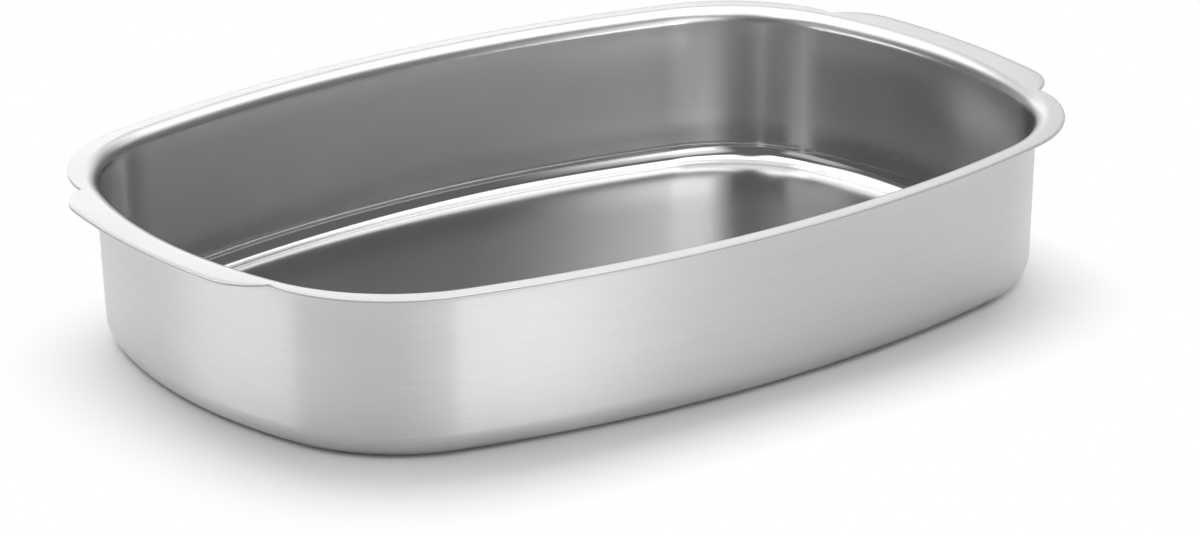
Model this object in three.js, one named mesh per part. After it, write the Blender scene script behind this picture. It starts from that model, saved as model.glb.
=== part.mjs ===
// A drawn roasting pan. One blank of clad sheet, three layers bonded face to face, is pressed into a deep tray
// with bowed sides. Its rim is turned out flat, and widens into a lifting ear in the middle of each short side.
// Millimetres, +Z up, +X along the pan. The origin is on the standing surface under the middle of the floor.
import * as THREE from 'three';

// Trimmed edge of the rim, measured without the ears
const RIM_LENGTH = 350;
const RIM_WIDTH = 244.6;
const RIM_LONG_SIDE_RADIUS = 457;
const RIM_SHORT_SIDE_RADIUS = 187;
const RIM_CORNER_RADIUS = 58;

// Lifting ears, trimmed from the same blank, with a notch where each one leaves the rim
const EAR_REACH = 4.6;
const EAR_LENGTH = 121.6;
const EAR_EDGE_RADIUS = 290;
const EAR_END_RADIUS = 22;
const NOTCH_SHOULDER_RADIUS = 40;
const NOTCH_SHOULDER_RUN = 11.2;

// Bend line, where the flat rim turns down into the wall
const RIM_FLAT = 4.5;
const BEND_LONG_SIDE_RADIUS = 452;
const BEND_SHORT_SIDE_RADIUS = 196.5;
const BEND_CORNER_RADIUS = 65.5;

// Section of the drawn sheet: the bend radius is on its upper face, the other two on its inner face, where a wide
// arc below the wall runs into a tighter one beside the floor, this far round from the floor
const PAN_HEIGHT = 60;
const RIM_BEND_RADIUS = 5.7;
const WALL_FOOT_RADIUS = 10.5;
const FLOOR_RADIUS = 5;
const FLOOR_ARC_TURN = THREE.MathUtils.degToRad(58);
const WALL_DRAFT = THREE.MathUtils.degToRad(1.9);
const LINER_THICKNESS = 0.3;
const CORE_THICKNESS = 0.4;
const SHELL_THICKNESS = 0.3;
const SHEET_THICKNESS = LINER_THICKNESS + CORE_THICKNESS + SHELL_THICKNESS;

// Flat steps along each round stretch
const EAR_EDGE_STEPS = 3;
const EAR_END_STEPS = 6;
const SHOULDER_STEPS = 3;
const CORNER_STEPS = 9;
const LONG_SIDE_STEPS = 6;
const BEND_STEPS = 3;
const WALL_FOOT_STEPS = 2;
const FLOOR_RADIUS_STEPS = 3;

const QUARTER_TURN = Math.PI / 2;

function direction(angle) {
  return new THREE.Vector2(Math.cos(angle), Math.sin(angle));
}

function steps(from, to, count) {
  return Array.from({ length: count + 1 }, (_, k) => from + ((to - from) * k) / count);
}

function arcPoints(centre, radius, from, to, count) {
  return steps(from, to, count).map((angle) => direction(angle).multiplyScalar(radius).add(centre));
}

// The crossing of two circles that lies in the quarter between +X and +Y
function quarterCrossing(centreA, radiusA, centreB, radiusB) {
  const along = centreB.clone().sub(centreA);
  const distance = along.length();
  along.divideScalar(distance);
  const run = (radiusA ** 2 - radiusB ** 2 + distance ** 2) / (2 * distance);
  const rise = Math.sqrt(radiusA ** 2 - run ** 2);
  const across = new THREE.Vector2(-along.y, along.x);
  const crossings = [rise, -rise].map((height) =>
    centreA.clone().addScaledVector(along, run).addScaledVector(across, height));
  return crossings.reduce((best, p) => (p.x + p.y > best.x + best.y ? p : best));
}

// A quarter of a rectangle with bowed sides and round corners: short-side, corner and long-side arcs, each
// tangent to the next. A point on it is named by the angle of its outward normal, 0 on +X and 90 degrees on +Y.
function bowedQuarter(length, width, longSideRadius, shortSideRadius, cornerRadius) {
  const shortCentre = new THREE.Vector2(length / 2 - shortSideRadius, 0);
  const longCentre = new THREE.Vector2(0, width / 2 - longSideRadius);
  const cornerCentre = quarterCrossing(
    shortCentre, shortSideRadius - cornerRadius, longCentre, longSideRadius - cornerRadius);
  const cornerStart = cornerCentre.clone().sub(shortCentre).angle();
  const cornerEnd = cornerCentre.clone().sub(longCentre).angle();
  const arcAt = (angle) => {
    if (angle < cornerStart) return { centre: shortCentre, radius: shortSideRadius };
    if (angle < cornerEnd) return { centre: cornerCentre, radius: cornerRadius };
    return { centre: longCentre, radius: longSideRadius };
  };
  return {
    cornerStart,
    cornerEnd,
    pointAt(angle, inset = 0) {
      const { centre, radius } = arcAt(angle);
      return direction(angle).multiplyScalar(radius - inset).add(centre);
    },
    // Angle of the normal that passes through a point near the outline
    angleThrough(point) {
      const onShort = point.clone().sub(shortCentre).angle();
      if (onShort < cornerStart) return onShort;
      const onCorner = point.clone().sub(cornerCentre).angle();
      return onCorner < cornerEnd ? onCorner : point.clone().sub(longCentre).angle();
    },
    // Angle of the normal where the outline is this far from the long axis
    angleAtHeight(height) {
      const onShort = Math.asin(height / shortSideRadius);
      return onShort < cornerStart ? onShort : Math.asin((height - cornerCentre.y) / cornerRadius);
    },
  };
}

// A quarter of the trimmed edge: ear edge, ear end, notch, shoulder, corner and long side
function rimEdgeQuarter() {
  const rim = bowedQuarter(
    RIM_LENGTH, RIM_WIDTH, RIM_LONG_SIDE_RADIUS, RIM_SHORT_SIDE_RADIUS, RIM_CORNER_RADIUS);
  const earCentre = new THREE.Vector2(RIM_LENGTH / 2 + EAR_REACH - EAR_EDGE_RADIUS, 0);
  const endDistance = EAR_EDGE_RADIUS - EAR_END_RADIUS;
  const endStart = Math.asin((EAR_LENGTH / 2 - EAR_END_RADIUS) / endDistance);
  const endCentre = direction(endStart).multiplyScalar(endDistance).add(earCentre);

  const shoulderEnd = rim.angleAtHeight(EAR_LENGTH / 2 + NOTCH_SHOULDER_RUN);
  const shoulderCentre = rim.pointAt(shoulderEnd, NOTCH_SHOULDER_RADIUS);
  const notch = quarterCrossing(endCentre, EAR_END_RADIUS, shoulderCentre, NOTCH_SHOULDER_RADIUS);
  const endStop = notch.clone().sub(endCentre).angle();
  const offset = notch.clone().sub(shoulderCentre);
  const shoulderStart = Math.atan2(offset.y, offset.x);

  const cornerAngles = steps(shoulderEnd, rim.cornerEnd, CORNER_STEPS).slice(1);
  const longSideAngles = steps(rim.cornerEnd, QUARTER_TURN, LONG_SIDE_STEPS).slice(1);
  return [
    ...arcPoints(earCentre, EAR_EDGE_RADIUS, 0, endStart, EAR_EDGE_STEPS),
    ...arcPoints(endCentre, EAR_END_RADIUS, endStart, endStop, EAR_END_STEPS).slice(1),
    ...arcPoints(shoulderCentre, NOTCH_SHOULDER_RADIUS, shoulderStart, shoulderEnd, SHOULDER_STEPS).slice(1),
    ...[...cornerAngles, ...longSideAngles].map((angle) => rim.pointAt(angle)),
  ];
}

// The other three quarters are mirror images, so the ring runs once round, anticlockwise from +X
function fullRing(quarter) {
  const mirrored = (points, x, y) => points.map((p) => new THREE.Vector2(p.x * x, p.y * y));
  const back = [...quarter].reverse();
  return [
    ...quarter.slice(0, -1),
    ...mirrored(back, -1, 1).slice(0, -1),
    ...mirrored(quarter, -1, -1).slice(0, -1),
    ...mirrored(back, 1, -1).slice(0, -1),
  ];
}

// Section of one face of the sheet, from the bend line down to the edge of the flat floor. Depth is the
// distance below the upper face, and inset the distance inwards from the bend line.
function sectionAt(depth) {
  const bendRadius = RIM_BEND_RADIUS - depth;
  const bendHeight = PAN_HEIGHT - RIM_BEND_RADIUS;
  const bend = steps(0, QUARTER_TURN - WALL_DRAFT, BEND_STEPS).map((turn) => ({
    inset: bendRadius * Math.sin(turn),
    height: bendHeight + bendRadius * Math.cos(turn),
  }));

  const meetTurn = QUARTER_TURN - FLOOR_ARC_TURN;
  const betweenCentres = direction(meetTurn).multiplyScalar(WALL_FOOT_RADIUS - FLOOR_RADIUS);
  const floorArcHeight = SHEET_THICKNESS + FLOOR_RADIUS;
  const wallFootHeight = floorArcHeight + betweenCentres.y;
  const radii = RIM_BEND_RADIUS + WALL_FOOT_RADIUS;
  const wallLength =
    (bendHeight - wallFootHeight + radii * Math.sin(WALL_DRAFT)) / Math.cos(WALL_DRAFT);
  const wallFootInset = radii * Math.cos(WALL_DRAFT) + wallLength * Math.sin(WALL_DRAFT);
  const floorArcInset = wallFootInset - betweenCentres.x;
  const wallFoot = steps(WALL_DRAFT, meetTurn, WALL_FOOT_STEPS).map((turn) => ({
    inset: wallFootInset - (WALL_FOOT_RADIUS + depth) * Math.cos(turn),
    height: wallFootHeight - (WALL_FOOT_RADIUS + depth) * Math.sin(turn),
  }));
  const floorArc = steps(meetTurn, QUARTER_TURN, FLOOR_RADIUS_STEPS).slice(1).map((turn) => ({
    inset: floorArcInset - (FLOOR_RADIUS + depth) * Math.cos(turn),
    height: floorArcHeight - (FLOOR_RADIUS + depth) * Math.sin(turn),
  }));
  return [...bend, ...wallFoot, ...floorArc];
}

const rimEdge = rimEdgeQuarter();
const bendLine = bowedQuarter(
  RIM_LENGTH - 2 * RIM_FLAT, RIM_WIDTH - 2 * RIM_FLAT,
  BEND_LONG_SIDE_RADIUS, BEND_SHORT_SIDE_RADIUS, BEND_CORNER_RADIUS);
const normalAngles = rimEdge.map((point) => bendLine.angleThrough(point));

// Rings of one face of the sheet, from the trimmed edge inwards
function faceRings(depth) {
  const raised = (ring, height) => ring.map((p) => new THREE.Vector3(p.x, p.y, height));
  const edge = raised(fullRing(rimEdge), PAN_HEIGHT - depth);
  const inner = sectionAt(depth).map(({ inset, height }) =>
    raised(fullRing(normalAngles.map((angle) => bendLine.pointAt(angle, inset))), height));
  return [edge, ...inner];
}

// One layer of the sheet: its upper face, its lower face and the trimmed edge between them
function layerGeometry(upperDepth, lowerDepth) {
  const upper = faceRings(upperDepth);
  const lower = faceRings(lowerDepth);
  const around = upper[0].length;
  const lowerStart = upper.length * around;
  const triangles = [];
  const add = (a, b, c, turned) => triangles.push(...(turned ? [a, c, b] : [a, b, c]));
  const band = (outer, inner, turned) => {
    for (let k = 0; k < around; k += 1) {
      const next = (k + 1) % around;
      add(outer + k, outer + next, inner + k, turned);
      add(outer + next, inner + next, inner + k, turned);
    }
  };
  const floor = THREE.ShapeUtils.triangulateShape(
    upper.at(-1).map((p) => new THREE.Vector2(p.x, p.y)), []);
  for (const [start, turned] of [[0, false], [lowerStart, true]]) {
    for (let ring = 0; ring < upper.length - 1; ring += 1) {
      band(start + ring * around, start + (ring + 1) * around, turned);
    }
    const last = start + (upper.length - 1) * around;
    for (const [a, b, c] of floor) add(last + a, last + b, last + c, turned);
  }
  band(0, lowerStart, true);

  const geometry = new THREE.BufferGeometry().setFromPoints([...upper.flat(), ...lower.flat()]);
  geometry.setIndex(triangles);
  geometry.computeVertexNormals();
  return geometry;
}

const coreDepth = LINER_THICKNESS;
const shellDepth = LINER_THICKNESS + CORE_THICKNESS;

const polishedSteel = new THREE.MeshStandardMaterial({ color: 0xc4c5c6, roughness: 0.18, metalness: 1 });
const rolledAluminium = new THREE.MeshStandardMaterial({ color: 0xd0d2d3, roughness: 0.5, metalness: 1 });
const brushedSteel = new THREE.MeshStandardMaterial({ color: 0xbfc0c1, roughness: 0.35, metalness: 1 });

const pan = new THREE.Group();
for (const [name, upperDepth, lowerDepth, material] of [
  ['inner_liner', 0, coreDepth, polishedSteel],
  ['heat_core', coreDepth, shellDepth, rolledAluminium],
  ['outer_shell', shellDepth, SHEET_THICKNESS, brushedSteel],
]) {
  const layer = new THREE.Mesh(layerGeometry(upperDepth, lowerDepth), material);
  layer.name = name;
  pan.add(layer);
}

export default pan;
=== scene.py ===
from math import asin, atan2, cos, pi, radians, sin

import bpy
from mathutils import Matrix, Vector
from mathutils.geometry import intersect_sphere_sphere_2d


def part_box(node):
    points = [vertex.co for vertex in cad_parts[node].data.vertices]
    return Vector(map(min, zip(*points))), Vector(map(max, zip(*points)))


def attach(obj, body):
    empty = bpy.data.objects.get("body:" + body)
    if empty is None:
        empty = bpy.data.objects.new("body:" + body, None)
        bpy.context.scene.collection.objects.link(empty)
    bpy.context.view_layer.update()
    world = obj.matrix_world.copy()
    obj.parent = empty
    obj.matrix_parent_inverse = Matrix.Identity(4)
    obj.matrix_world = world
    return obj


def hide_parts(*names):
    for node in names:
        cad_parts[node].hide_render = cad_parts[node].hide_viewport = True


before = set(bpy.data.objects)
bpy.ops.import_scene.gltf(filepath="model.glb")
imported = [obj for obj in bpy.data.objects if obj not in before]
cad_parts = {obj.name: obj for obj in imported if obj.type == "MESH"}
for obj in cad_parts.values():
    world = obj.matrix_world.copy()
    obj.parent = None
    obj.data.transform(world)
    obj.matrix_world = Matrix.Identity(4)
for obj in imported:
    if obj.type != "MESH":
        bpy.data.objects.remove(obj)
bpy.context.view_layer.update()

# Inner liner
# The cooking face of the pan, the upper skin of a clad sheet: stainless steel, 0.3 mm thick. The blank is
# drawn into a tray with bowed sides, its rim is turned out flat and trimmed with a lifting ear at each end.
# The inside is polished, and the rim keeps a satin finish.
MM = 0.001
liner_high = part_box("inner_liner")[1]
pan_height = liner_high.z
ear_reach = 4.6 * MM
rim_length = 2 * (liner_high.x - ear_reach)
rim_width = 2 * liner_high.y
liner_thickness = 0.3 * MM
sheet_thickness = 1.0 * MM
same_place = 0.01 * MM


def outer_crossing(centre_a, radius_a, centre_b, radius_b):
    """The crossing of two circles that lies in the quarter between +X and +Y."""
    crossings = intersect_sphere_sphere_2d(centre_a, radius_a, centre_b, radius_b)
    return max(crossings, key=lambda point: point.x + point.y)


def angle_of(point, centre):
    """Angle of the line from a centre to a point, in the plan."""
    return atan2(point.y - centre.y, point.x - centre.x)


def at_angle(centre, radius, angle):
    """A point on a circle, in the plan."""
    return centre + radius * Vector((cos(angle), sin(angle)))


def bowed_quarter(length, width, long_side_radius, short_side_radius, corner_radius):
    """Centres of a bowed rectangle's three tangent arcs, and the angles between which its corner runs."""
    short_centre = Vector((length / 2 - short_side_radius, 0))
    long_centre = Vector((0, width / 2 - long_side_radius))
    corner_centre = outer_crossing(short_centre, short_side_radius - corner_radius,
                                   long_centre, long_side_radius - corner_radius)
    corner_start = angle_of(corner_centre, short_centre)
    corner_end = angle_of(corner_centre, long_centre)
    return short_centre, corner_centre, long_centre, corner_start, corner_end


def apply_modifier(piece, kind, **settings):
    """Adds a modifier to the active piece and applies it."""
    bpy.ops.object.modifier_add(type=kind)
    modifier = piece.modifiers[-1]
    for name, value in settings.items():
        setattr(modifier, name, value)
    bpy.ops.object.modifier_apply(modifier=modifier.name)


def sweep_outline(start, arcs):
    """Draws a quarter of an outline in edit mode: one point, swept round the centre of each arc in turn."""
    bpy.ops.mesh.primitive_plane_add(size=MM, location=(start.x, start.y, pan_height))
    bpy.ops.mesh.merge(type="CENTER")
    for centre, turn, steps in arcs:
        bpy.ops.mesh.spin(steps=steps, angle=-turn, center=(centre.x, centre.y, pan_height), axis=(0, 0, 1))


# The bend line, where the flat rim turns down into the wall
rim_flat = 4.5 * MM
bend_short_radius = 196.5 * MM
bend_long_radius = 452 * MM
bend_corner_radius = 65.5 * MM
short_side_steps = 32
corner_steps = 36
long_side_steps = 44
bend_start = Vector((rim_length / 2 - rim_flat, 0))
short_centre, corner_centre, long_centre, corner_start, corner_end = bowed_quarter(
    rim_length - 2 * rim_flat, rim_width - 2 * rim_flat,
    bend_long_radius, bend_short_radius, bend_corner_radius)
bend_line = [(short_centre, corner_start, short_side_steps),
             (corner_centre, corner_end - corner_start, corner_steps),
             (long_centre, pi / 2 - corner_end, long_side_steps)]

# The trimmed edge of the rim: ear edge, rounded ear end, notch, shoulder, corner and long side
rim_short_radius = 187 * MM
rim_long_radius = 457 * MM
rim_corner_radius = 58 * MM
ear_length = 121.6 * MM
ear_edge_radius = 290 * MM
ear_end_radius = 22 * MM
shoulder_radius = 40 * MM
shoulder_run = 11.2 * MM
ear_edge_steps = 16
shoulder_steps = 8
_, rim_corner_centre, rim_long_centre, _, rim_corner_end = bowed_quarter(
    rim_length, rim_width, rim_long_radius, rim_short_radius, rim_corner_radius)
ear_centre = Vector((rim_length / 2 + ear_reach - ear_edge_radius, 0))
ear_end_distance = ear_edge_radius - ear_end_radius
ear_end_start = asin((ear_length / 2 - ear_end_radius) / ear_end_distance)
ear_end_centre = at_angle(ear_centre, ear_end_distance, ear_end_start)
shoulder_end = asin((ear_length / 2 + shoulder_run - rim_corner_centre.y) / rim_corner_radius)
shoulder_centre = at_angle(rim_corner_centre, rim_corner_radius - shoulder_radius, shoulder_end)
notch = outer_crossing(ear_end_centre, ear_end_radius, shoulder_centre, shoulder_radius)
ear_end_turn = angle_of(notch, ear_end_centre) - ear_end_start
shoulder_turn = shoulder_end - angle_of(notch, shoulder_centre)
trimmed_edge = [(ear_centre, ear_end_start, ear_edge_steps),
                (ear_end_centre, ear_end_turn, short_side_steps - ear_edge_steps),
                (shoulder_centre, shoulder_turn, shoulder_steps),
                (rim_corner_centre, rim_corner_end - shoulder_end, corner_steps - shoulder_steps),
                (rim_long_centre, pi / 2 - rim_corner_end, long_side_steps)]

# The flat rim between the two outlines, a quarter of it bridged and mirrored into the whole ring
rim_cuts = 3
bpy.ops.object.select_all(action="DESELECT")
bpy.ops.mesh.primitive_plane_add(size=MM)
sheet = bpy.context.object
sheet.name = "clad_sheet"
bpy.ops.object.mode_set(mode="EDIT")
bpy.ops.mesh.delete(type="VERT")
sweep_outline(Vector((rim_length / 2 + ear_reach, 0)), trimmed_edge)
sweep_outline(bend_start, bend_line)
bpy.ops.mesh.select_all(action="SELECT")
bpy.ops.mesh.bridge_edge_loops(number_cuts=rim_cuts, interpolation="LINEAR")
bpy.ops.object.mode_set(mode="OBJECT")
apply_modifier(sheet, "MIRROR", use_axis=(True, True, False), merge_threshold=same_place)

# The blank inside the bend line, filled from one edge of that line on
on_bend_line = [vertex.index for vertex in sheet.data.vertices
                if vertex.co.x > 0
                and abs((vertex.co.xy - short_centre).length - bend_short_radius) < same_place]
bpy.ops.object.mode_set(mode="EDIT")
bpy.ops.mesh.select_mode(type="EDGE")
bpy.ops.mesh.select_all(action="DESELECT")
bpy.ops.object.mode_set(mode="OBJECT")
first_edge = next(edge for edge in sheet.data.edges if all(end in on_bend_line for end in edge.vertices))
first_edge.select = True
bpy.ops.object.mode_set(mode="EDIT")
bpy.ops.mesh.loop_multi_select(ring=False)
bpy.ops.mesh.edge_face_add()
bpy.ops.mesh.select_all(action="SELECT")
bpy.ops.mesh.normals_make_consistent(inside=False)
bpy.ops.object.mode_set(mode="OBJECT")
blank = max(sheet.data.polygons, key=lambda face: face.area)
blank_index = blank.index
blank_faces_down = blank.normal.z < 0
bpy.ops.object.mode_set(mode="EDIT")
if blank_faces_down:
    bpy.ops.mesh.flip_normals()

# The drawn tray: the blank is pressed down ring by ring along the bend, the drafted wall, the wide arc at
# its foot, the tighter arc beside the floor and the first strip of the flat floor
rim_bend_radius = 5.7 * MM
wall_foot_radius = 10.5 * MM
floor_radius = 5 * MM
floor_arc_turn = radians(58)
wall_draft = radians(1.9)
bend_rings = 16
wall_rings = 6
wall_foot_rings = 12
floor_arc_rings = 16
floor_strip = 2 * MM
bend_height = pan_height - rim_bend_radius
meet_turn = pi / 2 - floor_arc_turn
centres_apart = wall_foot_radius - floor_radius
floor_arc_height = sheet_thickness + floor_radius
wall_foot_height = floor_arc_height + centres_apart * sin(meet_turn)
radii = rim_bend_radius + wall_foot_radius
wall_length = (bend_height - wall_foot_height + radii * sin(wall_draft)) / cos(wall_draft)
wall_foot_inset = radii * cos(wall_draft) + wall_length * sin(wall_draft)
floor_arc_inset = wall_foot_inset - centres_apart * cos(meet_turn)
section = [(0.0, pan_height)]
for ring in range(1, bend_rings + 1):
    turn = (pi / 2 - wall_draft) * ring / bend_rings
    section.append((rim_bend_radius * sin(turn), bend_height + rim_bend_radius * cos(turn)))
wall_top_inset, wall_top_height = section[-1]
for ring in range(1, wall_rings):
    run = wall_length * ring / wall_rings
    section.append((wall_top_inset + run * sin(wall_draft), wall_top_height - run * cos(wall_draft)))
for ring in range(wall_foot_rings + 1):
    turn = wall_draft + (meet_turn - wall_draft) * ring / wall_foot_rings
    section.append((wall_foot_inset - wall_foot_radius * cos(turn),
                    wall_foot_height - wall_foot_radius * sin(turn)))
for ring in range(1, floor_arc_rings + 1):
    turn = meet_turn + floor_arc_turn * ring / floor_arc_rings
    section.append((floor_arc_inset - floor_radius * cos(turn),
                    floor_arc_height - floor_radius * sin(turn)))
section.append((floor_arc_inset + floor_strip, sheet_thickness))
bpy.ops.mesh.select_mode(type="FACE")
bpy.ops.mesh.select_all(action="DESELECT")
bpy.ops.object.mode_set(mode="OBJECT")
sheet.data.polygons[blank_index].select = True
bpy.ops.object.mode_set(mode="EDIT")
for (inset, height), (next_inset, next_height) in zip(section, section[1:]):
    bpy.ops.mesh.inset(thickness=next_inset - inset, depth=next_height - height, use_even_offset=True)
bpy.ops.object.mode_set(mode="OBJECT")


def layer_of_sheet(name, depth, thickness):
    """A copy of the sheet's upper face, lowered into the sheet and given a thickness below it."""
    bpy.ops.object.select_all(action="DESELECT")
    sheet.select_set(True)
    bpy.context.view_layer.objects.active = sheet
    bpy.ops.object.duplicate()
    layer = bpy.context.object
    layer.name = name
    if depth > 0:
        apply_modifier(layer, "DISPLACE", strength=-depth, mid_level=0.0)
    apply_modifier(layer, "SOLIDIFY", thickness=thickness, offset=-1.0)
    return layer


edge_rounding = 0.12 * MM
edge_rounding_steps = 3
edge_height_tolerance = 0.05 * MM
sharpest_bend = radians(60)


def round_trimmed_edge(layer, height):
    """Takes the sharpness off the trimmed edge of a layer, at one height."""
    bpy.ops.object.mode_set(mode="EDIT")
    bpy.ops.mesh.select_mode(type="EDGE")
    bpy.ops.mesh.select_all(action="DESELECT")
    bpy.ops.mesh.edges_select_sharp(sharpness=sharpest_bend)
    bpy.ops.object.mode_set(mode="OBJECT")
    for edge in layer.data.edges:
        ends = [layer.data.vertices[end].co.z for end in edge.vertices]
        edge.select = edge.select and all(abs(end - height) < edge_height_tolerance for end in ends)
    bpy.ops.object.mode_set(mode="EDIT")
    bpy.ops.mesh.bevel(offset=edge_rounding, segments=edge_rounding_steps, affect="EDGES")
    bpy.ops.object.mode_set(mode="OBJECT")


sharpest_smooth_bend = radians(40)


def seat_layer(layer, node, material):
    """Smooths a layer, gives it its finish and puts it in the place of its construction solid."""
    bpy.ops.object.shade_smooth_by_angle(angle=sharpest_smooth_bend)
    layer.data.materials.clear()
    layer.data.materials.append(material)
    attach(layer, "root")
    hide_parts(node)


def metal(name, tone, roughness):
    """A new grey metal finish: its node tree, its shader and the piece's own coordinates."""
    material = bpy.data.materials.new(name)
    material.use_nodes = True
    tree = material.node_tree
    shader = tree.nodes["Principled BSDF"]
    shader.inputs["Base Color"].default_value = (tone, tone, tone, 1.0)
    shader.inputs["Metallic"].default_value = 1.0
    shader.inputs["Roughness"].default_value = roughness
    place = tree.nodes.new("ShaderNodeTexCoord").outputs["Object"]
    return material, tree, shader, place


def noise(tree, place, waves, detail):
    """Cloudy noise over a piece, with so many waves to the metre along each of its axes."""
    stretch = tree.nodes.new("ShaderNodeMapping")
    stretch.inputs["Scale"].default_value = waves
    tree.links.new(place, stretch.inputs["Vector"])
    cloud = tree.nodes.new("ShaderNodeTexNoise")
    cloud.inputs["Scale"].default_value = 1.0
    cloud.inputs["Detail"].default_value = detail
    tree.links.new(stretch.outputs["Vector"], cloud.inputs["Vector"])
    return cloud.outputs["Fac"]


weak_noise = 0.25
strong_noise = 0.75


def spread(tree, value, low, high):
    """A noise value spread out between two limits, most of it well inside them."""
    limits = tree.nodes.new("ShaderNodeMapRange")
    limits.inputs["From Min"].default_value = weak_noise
    limits.inputs["From Max"].default_value = strong_noise
    limits.inputs["To Min"].default_value = low
    limits.inputs["To Max"].default_value = high
    tree.links.new(value, limits.inputs["Value"])
    return limits.outputs["Result"]


def combine(tree, operation, first, second):
    """Two values worked together: their sum, their product or the greater of them."""
    together = tree.nodes.new("ShaderNodeMath")
    together.operation = operation
    tree.links.new(first, together.inputs[0])
    tree.links.new(second, together.inputs[1])
    return together.outputs["Value"]


def emboss(tree, shader, height, depth):
    """Raises and lowers the surface by a noise value, over a depth in metres."""
    bump = tree.nodes.new("ShaderNodeBump")
    bump.inputs["Strength"].default_value = 1.0
    bump.inputs["Distance"].default_value = depth
    tree.links.new(height, bump.inputs["Height"])
    tree.links.new(bump.outputs["Normal"], shader.inputs["Normal"])


quarter_turn = 0.25


def draw_grain_round_the_wall(tree, shader):
    """Lays the grain of a finish round the wall, so that its highlights draw out up and down."""
    round_the_wall = tree.nodes.new("ShaderNodeTangent")
    round_the_wall.direction_type = "RADIAL"
    round_the_wall.axis = "Z"
    tree.links.new(round_the_wall.outputs["Tangent"], shader.inputs["Tangent"])
    shader.inputs["Anisotropic Rotation"].default_value = quarter_turn


def change_with_height(tree, height, low, high, below, above):
    """A value that eases from one level below a low height to another above a high one.

    The level below is a number or the outcome of another change.
    """
    ease = tree.nodes.new("ShaderNodeMapRange")
    ease.interpolation_type = "SMOOTHSTEP"
    ease.inputs["From Min"].default_value = low
    ease.inputs["From Max"].default_value = high
    ease.inputs["To Max"].default_value = above
    tree.links.new(height, ease.inputs["Value"])
    if isinstance(below, float):
        ease.inputs["To Min"].default_value = below
    else:
        tree.links.new(below, ease.inputs["To Min"])
    return ease.outputs["Result"]


liner_tone = 0.64
floor_roughness = 0.2
radius_roughness = 0.09
wall_roughness = 0.26
rim_roughness = 0.34
no_grain = 0.0
wall_grain = 0.8
polish_depth = 0.0002 * MM
radius_start = sheet_thickness + 0.5 * MM
wall_start = wall_foot_height + wall_foot_radius
wall_grain_start = wall_foot_height - wall_foot_radius / 2
rim_grain_start = pan_height - 2 * rim_bend_radius
rim_grain_end = pan_height - 2 * MM
satin_start = pan_height - 1 * MM
liner = layer_of_sheet("polished_liner", 0.0, liner_thickness)
round_trimmed_edge(liner, pan_height)
polished_steel, tree, shader, place = metal("polished_steel", liner_tone, floor_roughness)
along_axes = tree.nodes.new("ShaderNodeSeparateXYZ")
tree.links.new(place, along_axes.inputs["Vector"])
height = along_axes.outputs["Z"]
burnished = change_with_height(tree, height, sheet_thickness, radius_start,
                               floor_roughness, radius_roughness)
drawn = change_with_height(tree, height, wall_foot_height, wall_start, burnished, wall_roughness)
satin = change_with_height(tree, height, bend_height, satin_start, drawn, rim_roughness)
grain_above_foot = change_with_height(tree, height, wall_grain_start, wall_start, no_grain, wall_grain)
grain = change_with_height(tree, height, rim_grain_start, rim_grain_end, grain_above_foot, no_grain)
tree.links.new(grain, shader.inputs["Anisotropic"])
draw_grain_round_the_wall(tree, shader)
buffing_clouds = noise(tree, place, waves=(22, 22, 22), detail=3)
buffing_lines = noise(tree, place, waves=(14, 700, 700), detail=2)
uneven_polish = spread(tree, buffing_clouds, low=0.85, high=1.04)
tree.links.new(combine(tree, "MULTIPLY", satin, uneven_polish), shader.inputs["Roughness"])
tree.links.new(spread(tree, buffing_lines, low=0.63, high=0.65), shader.inputs["Base Color"])
emboss(tree, shader, buffing_lines, polish_depth)
seat_layer(liner, "inner_liner", polished_steel)

# Heat core
# The middle of the clad sheet: aluminium, 0.4 mm thick, which spreads the heat. It is roll-bonded between
# the two steel skins, so only its cut edge shows, as a thin dull line round the rim.
core_thickness = 0.4 * MM
core_tone = 0.42
core_roughness = 0.5
shear_depth = 0.02 * MM
core = layer_of_sheet("aluminium_core", liner_thickness, core_thickness)
cut_aluminium, tree, shader, place = metal("cut_aluminium", core_tone, core_roughness)
shear_grain = noise(tree, place, waves=(900, 900, 900), detail=2)
tree.links.new(spread(tree, shear_grain, low=0.42, high=0.58), shader.inputs["Roughness"])
tree.links.new(spread(tree, shear_grain, low=0.36, high=0.46), shader.inputs["Base Color"])
emboss(tree, shader, shear_grain, shear_depth)
seat_layer(core, "heat_core", cut_aluminium)

# Outer shell
# The lower skin of the clad sheet: magnetic stainless steel, 0.3 mm thick, the outside of the wall and the
# base. It is brushed round the wall in one direction, which draws its highlights out up and down.
shell_thickness = 0.3 * MM
shell_tone = 0.62
shell_roughness = 0.38
shell_grain = 0.85
brush_depth = 0.0025 * MM
shell = layer_of_sheet("brushed_shell", liner_thickness + core_thickness, shell_thickness)
round_trimmed_edge(shell, pan_height - sheet_thickness)
brushed_steel, tree, shader, place = metal("brushed_steel", shell_tone, shell_roughness)
shader.inputs["Anisotropic"].default_value = shell_grain
draw_grain_round_the_wall(tree, shader)
brush_strokes = noise(tree, place, waves=(40, 40, 1500), detail=3)
brush_clouds = noise(tree, place, waves=(16, 16, 30), detail=4)
stroke_tone = spread(tree, brush_strokes, low=0.30, high=0.34)
cloud_tone = spread(tree, brush_clouds, low=0.31, high=0.38)
tree.links.new(combine(tree, "ADD", stroke_tone, cloud_tone), shader.inputs["Base Color"])
tree.links.new(spread(tree, brush_clouds, low=0.34, high=0.42), shader.inputs["Roughness"])
emboss(tree, shader, brush_strokes, brush_depth)
seat_layer(shell, "outer_shell", brushed_steel)

bpy.data.objects.remove(sheet)

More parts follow.
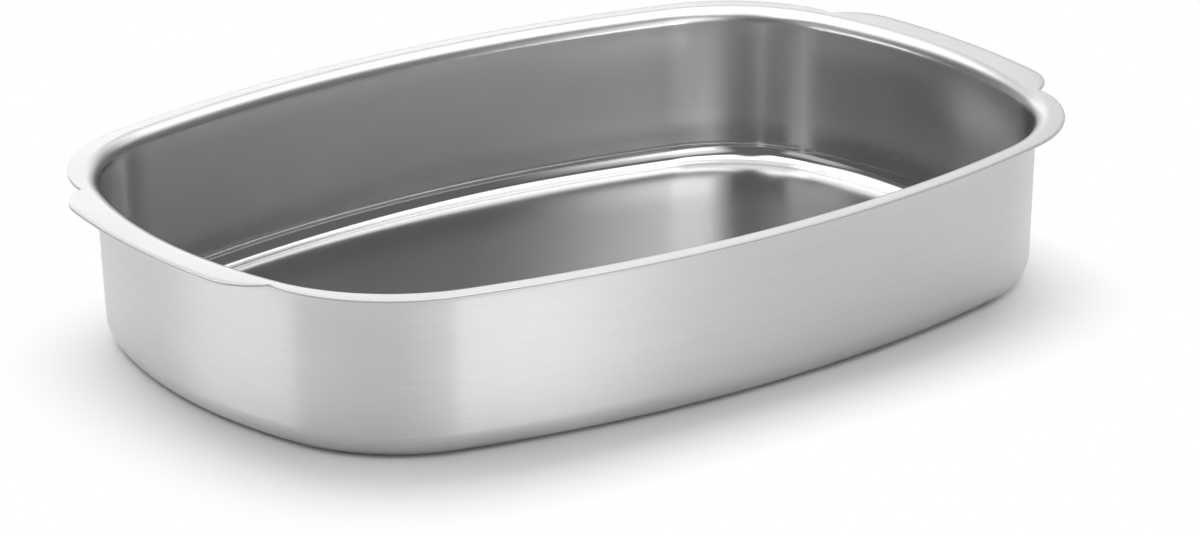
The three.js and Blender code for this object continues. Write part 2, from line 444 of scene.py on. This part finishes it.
# Studio floor
# A plain white table top, far larger than the view. Beside the pan it is lit like anything else and keeps
# the shadow. Past a rounded outline, set a little to the front left, it glows as painted white to the eye
# and in the metal. This paints out the outer part of the shadow, so what is left lies a little to the front
# left.
floor_size = 30.0
table_tone = 0.95
shadow_length = 280 * MM
shadow_width = 194 * MM
shadow_shift = 20 * MM
white_starts = 1.05
white_all_over = 1.95
bpy.ops.object.select_all(action="DESELECT")
bpy.ops.mesh.primitive_plane_add(size=floor_size)
table = bpy.context.object
table.name = "studio_floor"
table_white = bpy.data.materials.new("table_white")
table_white.use_nodes = True
tree = table_white.node_tree
shader = tree.nodes["Principled BSDF"]
shader.inputs["Base Color"].default_value = (table_tone, table_tone, table_tone, 1.0)
shader.inputs["Roughness"].default_value = 1.0
shader.inputs["Specular IOR Level"].default_value = 0.0

# How far a place is from the middle of the shadow: 1 round a rounded outline of the shadow's length and
# width, and more with the square of the distance
across_shadow = Vector((2 / shadow_length, 2 / shadow_width, 0))
from_shadow = tree.nodes.new("ShaderNodeMapping")
from_shadow.inputs["Scale"].default_value = across_shadow
from_shadow.inputs["Location"].default_value = across_shadow * shadow_shift
tree.links.new(tree.nodes.new("ShaderNodeTexCoord").outputs["Object"], from_shadow.inputs["Vector"])
squared = tree.nodes.new("ShaderNodeVectorMath")
squared.operation = "MULTIPLY"
tree.links.new(from_shadow.outputs["Vector"], squared.inputs[0])
tree.links.new(from_shadow.outputs["Vector"], squared.inputs[1])
how_far = tree.nodes.new("ShaderNodeVectorMath")
how_far.operation = "LENGTH"
tree.links.new(squared.outputs["Vector"], how_far.inputs[0])
# How much painted white covers the table's lit colour and shadow: none inside the outline, all of it
# farther out
painted_white_share = tree.nodes.new("ShaderNodeMapRange")
painted_white_share.inputs["From Min"].default_value = white_starts
painted_white_share.inputs["From Max"].default_value = white_all_over
tree.links.new(how_far.outputs["Value"], painted_white_share.inputs["Value"])
ray = tree.nodes.new("ShaderNodeLightPath").outputs
seen_or_mirrored = combine(tree, "MAXIMUM", ray["Is Camera Ray"], ray["Is Glossy Ray"])
seen = combine(tree, "MAXIMUM", seen_or_mirrored, ray["Is Transmission Ray"])
# The painted white: a glow that the eye and the metal see, which lights nothing
painted_white = tree.nodes.new("ShaderNodeEmission")
near_or_far = tree.nodes.new("ShaderNodeMixShader")
tree.links.new(combine(tree, "MULTIPLY", painted_white_share.outputs["Result"], seen), near_or_far.inputs["Fac"])
tree.links.new(shader.outputs["BSDF"], near_or_far.inputs[1])
tree.links.new(painted_white.outputs["Emission"], near_or_far.inputs[2])
tree.links.new(near_or_far.outputs["Shader"], tree.nodes["Material Output"].inputs["Surface"])
table.data.materials.append(table_white)

# Studio light
# A dim grey room with soft boxes round and above the table. Each box dies away towards its sides, as cloth
# over a lamp does, so that its image in the polished metal has soft edges. The lower boxes in front and at
# the two ends are kept off the table, as by a card below a lamp, so that the shadow at the foot stays dark.
room_tone = 0.17
room = bpy.data.worlds.new("grey_room")
bpy.context.scene.world = room
room.use_nodes = True
room.node_tree.nodes["Background"].inputs["Color"].default_value = (room_tone, room_tone, room_tone, 1.0)
room.node_tree.nodes["Background"].inputs["Strength"].default_value = 1.0
even_fade = (0.25, 0.25, 0.25, 0.25)


def soft_box(name, azimuth, elevation, size, radiance, fade=even_fade, distance=1.6, off_the_table=False):
    """A soft box that faces the pan, its angles in degrees and its size and distance in metres.

    Its radiance is how bright its middle looks in a mirror, with white at 1. Its fade is how much of its
    width or height it takes to die away at the left, right, bottom and top.
    """
    turn, rise = radians(azimuth), radians(elevation)
    towards_box = Vector((sin(turn) * cos(rise), -cos(turn) * cos(rise), sin(rise)))
    lamp = bpy.data.lights.new(name, "AREA")
    lamp.shape = "RECTANGLE"
    lamp.size, lamp.size_y = size
    lamp.energy = radiance * pi * size[0] * size[1]
    lamp.use_nodes = True
    tree = lamp.node_tree
    across = tree.nodes.new("ShaderNodeSeparateXYZ")
    tree.links.new(tree.nodes.new("ShaderNodeNewGeometry").outputs["Parametric"], across.inputs["Vector"])
    left, right, bottom, top = fade
    inner_light = None
    for axis, edge, inside in (("X", 0, left), ("X", 1, 1 - right), ("Y", 0, bottom), ("Y", 1, 1 - top)):
        fade_in = tree.nodes.new("ShaderNodeMapRange")
        fade_in.interpolation_type = "SMOOTHSTEP"
        fade_in.inputs["From Min"].default_value = edge
        fade_in.inputs["From Max"].default_value = inside
        tree.links.new(across.outputs[axis], fade_in.inputs["Value"])
        if inner_light:
            tree.links.new(inner_light, fade_in.inputs["To Max"])
        inner_light = fade_in.outputs["Result"]
    tree.links.new(inner_light, tree.nodes["Emission"].inputs["Strength"])
    box = bpy.data.objects.new(name, lamp)
    bpy.context.scene.collection.objects.link(box)
    box.location = Vector((0, 0, pan_height / 2)) + towards_box * distance
    box.rotation_euler = towards_box.to_track_quat("Z", "Y").to_euler()
    box.visible_camera = False
    box.visible_diffuse = not off_the_table


# Above and behind
soft_box("overhead_box", azimuth=150, elevation=84, size=(1.7, 1.7), radiance=1.55, distance=1.3)
soft_box("back_box", azimuth=155, elevation=54, size=(2.0, 1.4), radiance=1.33, fade=(0.25, 0.25, 0.3, 0.3))
soft_box("back_left_box", azimuth=188, elevation=47, size=(0.8, 1.1), radiance=1.25)
soft_box("left_back_box", azimuth=-142, elevation=50, size=(1.0, 1.1), radiance=1.7)

# High at the two ends
soft_box("left_top_box", azimuth=-98, elevation=55.5, size=(1.2, 0.6), radiance=2.2,
         fade=(0.25, 0.25, 0.12, 0.25))
soft_box("right_box", azimuth=98, elevation=42, size=(1.0, 0.7), radiance=1.0,
         fade=(0.35, 0.35, 0.3, 0.3), off_the_table=True)
soft_box("right_top_box", azimuth=70, elevation=61.5, size=(1.3, 0.62), radiance=1.7,
         fade=(0.2, 0.2, 0.12, 0.25))

# Low behind, for the flat rim
soft_box("rim_box", azimuth=144, elevation=20, size=(2.0, 0.5), radiance=1.78, fade=(0.6, 0.2, 0.3, 0.3))
soft_box("back_wall", azimuth=160, elevation=12, size=(4.4, 0.9), radiance=0.36,
         fade=(0.2, 0.2, 0.2, 0.3), distance=2.4)

# In front, for the outside of the long wall
soft_box("front_box", azimuth=-7, elevation=26, size=(2.0, 1.3), radiance=0.98,
         fade=(0.33, 0.33, 0.2, 0.3), off_the_table=True)
soft_box("front_middle_box", azimuth=-2, elevation=23, size=(1.5, 0.42), radiance=0.95,
         fade=(0.25, 0.35, 0.3, 0.3), distance=1.58, off_the_table=True)
soft_box("front_low_box", azimuth=11, elevation=4.2, size=(1.0, 0.24), radiance=6.8,
         fade=(0.08, 0.6, 0.2, 0.3), off_the_table=True)
soft_box("front_top_box", azimuth=-10, elevation=64, size=(1.4, 0.6), radiance=1.9,
         fade=(0.3, 0.3, 0.3, 0.3))

# On the left, for the outside of the short wall
soft_box("left_box", azimuth=-102, elevation=22, size=(1.3, 0.6), radiance=0.5, off_the_table=True)
soft_box("left_low_box", azimuth=-118, elevation=3.6, size=(1.2, 0.21), radiance=6.0,
         fade=(0.25, 0.25, 0.2, 0.3), off_the_table=True)

# Camera
# A long lens at the height of a person sitting at the table, at the pan's front left corner. It is aimed a
# little to the right of and above the middle of the base.
photo_width = 1200
lens_in_pixels = 4993.7
film_width = 36.0
farthest_seen = 100.0
camera_azimuth = radians(-36.03)
camera_elevation = radians(20.09)
camera_roll = radians(-0.67)
camera_distance = 1.7636
aim_right = 8.98 * MM
aim_up = 10.89 * MM
long_lens = bpy.data.cameras.new("photo_camera")
long_lens.sensor_width = film_width
long_lens.lens = lens_in_pixels * film_width / photo_width
long_lens.clip_end = farthest_seen
camera = bpy.data.objects.new("photo_camera", long_lens)
bpy.context.scene.collection.objects.link(camera)
turned = (Matrix.Rotation(camera_azimuth, 4, "Z")
          @ Matrix.Rotation(pi / 2 - camera_elevation, 4, "X")
          @ Matrix.Rotation(camera_roll, 4, "Z"))
camera.matrix_world = turned @ Matrix.Translation((aim_right, aim_up, camera_distance))
bpy.context.scene.camera = camera
bpy.context.scene.view_settings.view_transform = "Standard"
